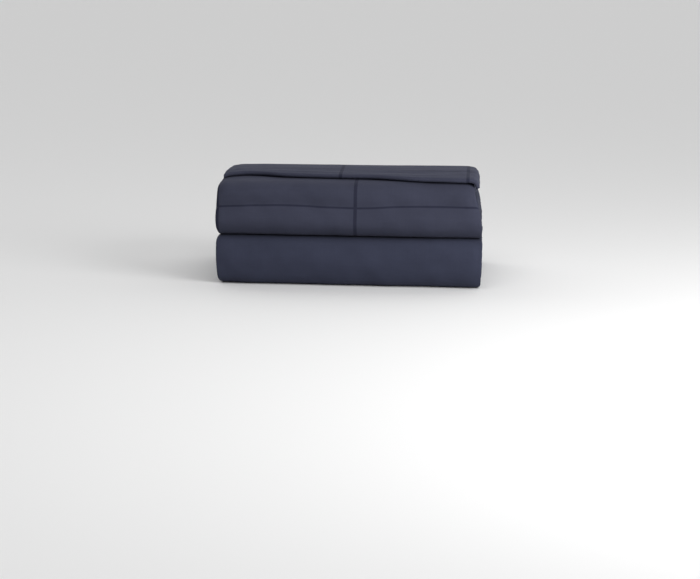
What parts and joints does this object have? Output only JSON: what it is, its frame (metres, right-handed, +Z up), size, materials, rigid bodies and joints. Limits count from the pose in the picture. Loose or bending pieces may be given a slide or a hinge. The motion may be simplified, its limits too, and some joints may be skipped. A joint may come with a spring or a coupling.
{
  "type": "folded duvet cover",
  "caption": "Duvet cover folded into a flat stack: windowpane face panel and plain back panel run together through a lower bundle, an upper bundle and a thin fold over the top.",
  "frame": {"origin": "on the surface that the stack lies on, under the middle of its outer box", "axes": "+X along the stack to the right as seen from its front, +Y to its back, +Z up through its plies"},
  "size_m": [0.325, 0.2388, 0.1394],
  "materials": {
    "face_cloth": "matte navy-grey cotton with darker windowpane lines",
    "back_cloth": "matte plain navy-grey cotton"
  },
  "bodies": {
    "root": {"face_panel": "face_cloth", "back_panel": "back_cloth"}
  },
  "joints": []
}
